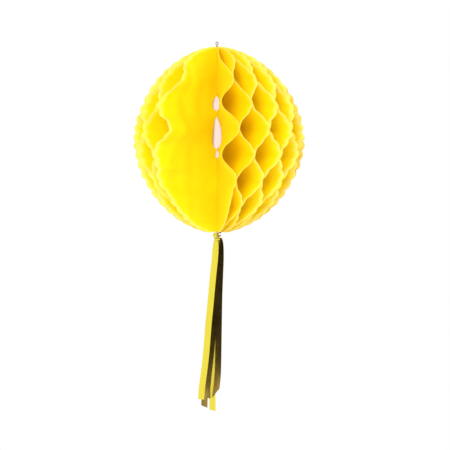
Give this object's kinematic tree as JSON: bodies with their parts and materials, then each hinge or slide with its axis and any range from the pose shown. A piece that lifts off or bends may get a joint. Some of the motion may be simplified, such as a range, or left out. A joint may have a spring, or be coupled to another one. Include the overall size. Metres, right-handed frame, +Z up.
{
  "type": "paper honeycomb ball",
  "caption": "Hanging honeycomb ball of glued tissue leaves round a vertical spine, with a knotted tassel of flat ribbons below it.",
  "frame": {"origin": "top of the hanging eye, where a hook or line holds the ball", "axes": "+Z up along the spine, -Y towards the front with the open wedge at front left, +X to the right"},
  "size_m": [0.1373, 0.1369, 0.296],
  "materials": {
    "tissue": "matt translucent tissue",
    "card": "smooth white card",
    "thread": "twisted polyester thread",
    "yellow_ribbon": "satin film ribbon",
    "gold_foil": "metallised foil ribbon"
  },
  "bodies": {
    "spine": {"spine_thread": "thread", "spine_card": "card", "hanging_eye": "thread", "top_knot": "thread", "bottom_knot": "thread", "tissue_sheet_00": "tissue"},
    "sheet_01": {"tissue_sheet_01": "tissue"},
    "sheet_02": {"tissue_sheet_02": "tissue"},
    "sheet_03": {"tissue_sheet_03": "tissue"},
    "sheet_04": {"tissue_sheet_04": "tissue"},
    "sheet_05": {"tissue_sheet_05": "tissue"},
    "sheet_06": {"tissue_sheet_06": "tissue"},
    "sheet_07": {"tissue_sheet_07": "tissue"},
    "sheet_08": {"tissue_sheet_08": "tissue"},
    "sheet_09": {"tissue_sheet_09": "tissue"},
    "sheet_10": {"tissue_sheet_10": "tissue"},
    "sheet_11": {"tissue_sheet_11": "tissue"},
    "sheet_12": {"tissue_sheet_12": "tissue"},
    "sheet_13": {"tissue_sheet_13": "tissue"},
    "sheet_14": {"tissue_sheet_14": "tissue"},
    "sheet_15": {"tissue_sheet_15": "tissue"},
    "sheet_16": {"tissue_sheet_16": "tissue"},
    "sheet_17": {"tissue_sheet_17": "tissue"},
    "sheet_18": {"tissue_sheet_18": "tissue"},
    "sheet_19": {"tissue_sheet_19": "tissue"},
    "sheet_20": {"tissue_sheet_20": "tissue"},
    "sheet_21": {"tissue_sheet_21": "tissue"},
    "sheet_22": {"tissue_sheet_22": "tissue"},
    "sheet_23": {"tissue_sheet_23": "tissue"},
    "sheet_24": {"tissue_sheet_24": "tissue"},
    "sheet_25": {"tissue_sheet_25": "tissue"},
    "sheet_26": {"tissue_sheet_26": "tissue"},
    "sheet_27": {"tissue_sheet_27": "tissue"},
    "sheet_28": {"tissue_sheet_28": "tissue"},
    "tassel_tie": {"tassel_tie": "thread"},
    "tassel_neck": {"ribbon_fold": "yellow_ribbon", "foil_loop": "gold_foil", "yellow_knot": "yellow_ribbon", "neck_wrap": "yellow_ribbon"},
    "yellow_tail_1": {"yellow_tail_1": "yellow_ribbon"},
    "yellow_tail_2": {"yellow_tail_2": "yellow_ribbon"},
    "foil_tail_1": {"foil_tail_1": "gold_foil"},
    "foil_tail_2": {"foil_tail_2": "gold_foil"},
    "foil_tail_3": {"foil_tail_3": "gold_foil"}
  },
  "joints": [
    {"name": "fold_01", "type": "hinge", "parent": "spine", "child": "sheet_01", "pos_m": [0, 0, -0.079], "axis": [0, 0, 1], "range_deg": [-11, 0], "deforming": ["tissue_sheet_01"]},
    {"name": "fold_02", "type": "hinge", "parent": "spine", "child": "sheet_02", "pos_m": [0, 0, -0.079], "axis": [0, 0, 1], "range_deg": [-21.5, 0], "deforming": ["tissue_sheet_02"]},
    {"name": "fold_03", "type": "hinge", "parent": "spine", "child": "sheet_03", "pos_m": [0, 0, -0.079], "axis": [0, 0, 1], "range_deg": [-32, 0], "deforming": ["tissue_sheet_03"]},
    {"name": "fold_04", "type": "hinge", "parent": "spine", "child": "sheet_04", "pos_m": [0, 0, -0.079], "axis": [0, 0, 1], "range_deg": [-42.5, 0], "deforming": ["tissue_sheet_04"]},
    {"name": "fold_05", "type": "hinge", "parent": "spine", "child": "sheet_05", "pos_m": [0, 0, -0.079], "axis": [0, 0, 1], "range_deg": [-53, 0], "deforming": ["tissue_sheet_05"]},
    {"name": "fold_06", "type": "hinge", "parent": "spine", "child": "sheet_06", "pos_m": [0, 0, -0.079], "axis": [0, 0, 1], "range_deg": [-63.5, 0], "deforming": ["tissue_sheet_06"]},
    {"name": "fold_07", "type": "hinge", "parent": "spine", "child": "sheet_07", "pos_m": [0, 0, -0.079], "axis": [0, 0, 1], "range_deg": [-74, 0], "deforming": ["tissue_sheet_07"]},
    {"name": "fold_08", "type": "hinge", "parent": "spine", "child": "sheet_08", "pos_m": [0, 0, -0.079], "axis": [0, 0, 1], "range_deg": [-84.5, 0], "deforming": ["tissue_sheet_08"]},
    {"name": "fold_09", "type": "hinge", "parent": "spine", "child": "sheet_09", "pos_m": [0, 0, -0.079], "axis": [0, 0, 1], "range_deg": [-95, 0], "deforming": ["tissue_sheet_09"]},
    {"name": "fold_10", "type": "hinge", "parent": "spine", "child": "sheet_10", "pos_m": [0, 0, -0.079], "axis": [0, 0, 1], "range_deg": [-105.5, 0], "deforming": ["tissue_sheet_10"]},
    {"name": "fold_11", "type": "hinge", "parent": "spine", "child": "sheet_11", "pos_m": [0, 0, -0.079], "axis": [0, 0, 1], "range_deg": [-116, 0], "deforming": ["tissue_sheet_11"]},
    {"name": "fold_12", "type": "hinge", "parent": "spine", "child": "sheet_12", "pos_m": [0, 0, -0.079], "axis": [0, 0, 1], "range_deg": [-126.5, 0], "deforming": ["tissue_sheet_12"]},
    {"name": "fold_13", "type": "hinge", "parent": "spine", "child": "sheet_13", "pos_m": [0, 0, -0.079], "axis": [0, 0, 1], "range_deg": [-137, 0], "deforming": ["tissue_sheet_13"]},
    {"name": "fold_14", "type": "hinge", "parent": "spine", "child": "sheet_14", "pos_m": [0, 0, -0.079], "axis": [0, 0, 1], "range_deg": [-147.5, 0], "deforming": ["tissue_sheet_14"]},
    {"name": "fold_15", "type": "hinge", "parent": "spine", "child": "sheet_15", "pos_m": [0, 0, -0.079], "axis": [0, 0, 1], "range_deg": [-158, 0], "deforming": ["tissue_sheet_15"]},
    {"name": "fold_16", "type": "hinge", "parent": "spine", "child": "sheet_16", "pos_m": [0, 0, -0.079], "axis": [0, 0, 1], "range_deg": [-168.5, 0], "deforming": ["tissue_sheet_16"]},
    {"name": "fold_17", "type": "hinge", "parent": "spine", "child": "sheet_17", "pos_m": [0, 0, -0.079], "axis": [0, 0, 1], "range_deg": [-179, 0], "deforming": ["tissue_sheet_17"]},
    {"name": "fold_18", "type": "hinge", "parent": "spine", "child": "sheet_18", "pos_m": [0, 0, -0.079], "axis": [0, 0, 1], "range_deg": [-189.5, 0], "deforming": ["tissue_sheet_18"]},
    {"name": "fold_19", "type": "hinge", "parent": "spine", "child": "sheet_19", "pos_m": [0, 0, -0.079], "axis": [0, 0, 1], "range_deg": [-200, 0], "deforming": ["tissue_sheet_19"]},
    {"name": "fold_20", "type": "hinge", "parent": "spine", "child": "sheet_20", "pos_m": [0, 0, -0.079], "axis": [0, 0, 1], "range_deg": [-210.5, 0], "deforming": ["tissue_sheet_20"]},
    {"name": "fold_21", "type": "hinge", "parent": "spine", "child": "sheet_21", "pos_m": [0, 0, -0.079], "axis": [0, 0, 1], "range_deg": [-221, 0], "deforming": ["tissue_sheet_21"]},
    {"name": "fold_22", "type": "hinge", "parent": "spine", "child": "sheet_22", "pos_m": [0, 0, -0.079], "axis": [0, 0, 1], "range_deg": [-231.5, 0], "deforming": ["tissue_sheet_22"]},
    {"name": "fold_23", "type": "hinge", "parent": "spine", "child": "sheet_23", "pos_m": [0, 0, -0.079], "axis": [0, 0, 1], "range_deg": [-242, 0], "deforming": ["tissue_sheet_23"]},
    {"name": "fold_24", "type": "hinge", "parent": "spine", "child": "sheet_24", "pos_m": [0, 0, -0.079], "axis": [0, 0, 1], "range_deg": [-252.5, 0], "deforming": ["tissue_sheet_24"]},
    {"name": "fold_25", "type": "hinge", "parent": "spine", "child": "sheet_25", "pos_m": [0, 0, -0.079], "axis": [0, 0, 1], "range_deg": [-263, 0], "deforming": ["tissue_sheet_25"]},
    {"name": "fold_26", "type": "hinge", "parent": "spine", "child": "sheet_26", "pos_m": [0, 0, -0.079], "axis": [0, 0, 1], "range_deg": [-273.5, 0], "deforming": ["tissue_sheet_26"]},
    {"name": "fold_27", "type": "hinge", "parent": "spine", "child": "sheet_27", "pos_m": [0, 0, -0.079], "axis": [0, 0, 1], "range_deg": [-284, 0], "deforming": ["tissue_sheet_27"]},
    {"name": "fold", "type": "hinge", "parent": "spine", "child": "sheet_28", "pos_m": [0, 0, -0.079], "axis": [0, 0, 1], "range_deg": [-294, 0], "deforming": ["tissue_sheet_28", "tissue_sheet_00"]},
    {"name": "tassel_swing_fore", "type": "hinge", "parent": "spine", "child": "tassel_tie", "pos_m": [0, 0, -0.154], "axis": [1, 0, 0], "range_deg": [-25, 25]},
    {"name": "tassel_swing_side", "type": "hinge", "parent": "tassel_tie", "child": "tassel_neck", "pos_m": [0, 0, -0.154], "axis": [0, 1, 0], "range_deg": [-25, 25]},
    {"name": "yellow_tail_1_swing", "type": "hinge", "parent": "tassel_neck", "child": "yellow_tail_1", "pos_m": [-0.0009, -0.0014, -0.1597], "axis": [0, 1, 0], "range_deg": [-8, 8]},
    {"name": "yellow_tail_2_swing", "type": "hinge", "parent": "tassel_neck", "child": "yellow_tail_2", "pos_m": [0.0008, 0.0007, -0.1597], "axis": [0, 1, 0], "range_deg": [-8, 8]},
    {"name": "foil_tail_1_swing", "type": "hinge", "parent": "tassel_neck", "child": "foil_tail_1", "pos_m": [0.0022, 0, -0.1597], "axis": [0, 1, 0], "range_deg": [-8, 8]},
    {"name": "foil_tail_2_swing", "type": "hinge", "parent": "tassel_neck", "child": "foil_tail_2", "pos_m": [0.003, -0.0007, -0.1597], "axis": [0, 1, 0], "range_deg": [-8, 8]},
    {"name": "foil_tail_3_swing", "type": "hinge", "parent": "tassel_neck", "child": "foil_tail_3", "pos_m": [0.0012, 0.0014, -0.1597], "axis": [0, 1, 0], "range_deg": [-8, 8]}
  ],
  "couplings": [
    {"joint": "fold_01", "follows": "fold", "ratio": 0.035714},
    {"joint": "fold_02", "follows": "fold", "ratio": 0.071429},
    {"joint": "fold_03", "follows": "fold", "ratio": 0.10714},
    {"joint": "fold_04", "follows": "fold", "ratio": 0.14286},
    {"joint": "fold_05", "follows": "fold", "ratio": 0.17857},
    {"joint": "fold_06", "follows": "fold", "ratio": 0.21429},
    {"joint": "fold_07", "follows": "fold", "ratio": 0.25},
    {"joint": "fold_08", "follows": "fold", "ratio": 0.28571},
    {"joint": "fold_09", "follows": "fold", "ratio": 0.32143},
    {"joint": "fold_10", "follows": "fold", "ratio": 0.35714},
    {"joint": "fold_11", "follows": "fold", "ratio": 0.39286},
    {"joint": "fold_12", "follows": "fold", "ratio": 0.42857},
    {"joint": "fold_13", "follows": "fold", "ratio": 0.46429},
    {"joint": "fold_14", "follows": "fold", "ratio": 0.5},
    {"joint": "fold_15", "follows": "fold", "ratio": 0.53571},
    {"joint": "fold_16", "follows": "fold", "ratio": 0.57143},
    {"joint": "fold_17", "follows": "fold", "ratio": 0.60714},
    {"joint": "fold_18", "follows": "fold", "ratio": 0.64286},
    {"joint": "fold_19", "follows": "fold", "ratio": 0.67857},
    {"joint": "fold_20", "follows": "fold", "ratio": 0.71429},
    {"joint": "fold_21", "follows": "fold", "ratio": 0.75},
    {"joint": "fold_22", "follows": "fold", "ratio": 0.78571},
    {"joint": "fold_23", "follows": "fold", "ratio": 0.82143},
    {"joint": "fold_24", "follows": "fold", "ratio": 0.85714},
    {"joint": "fold_25", "follows": "fold", "ratio": 0.89286},
    {"joint": "fold_26", "follows": "fold", "ratio": 0.92857},
    {"joint": "fold_27", "follows": "fold", "ratio": 0.96429}
  ]
}
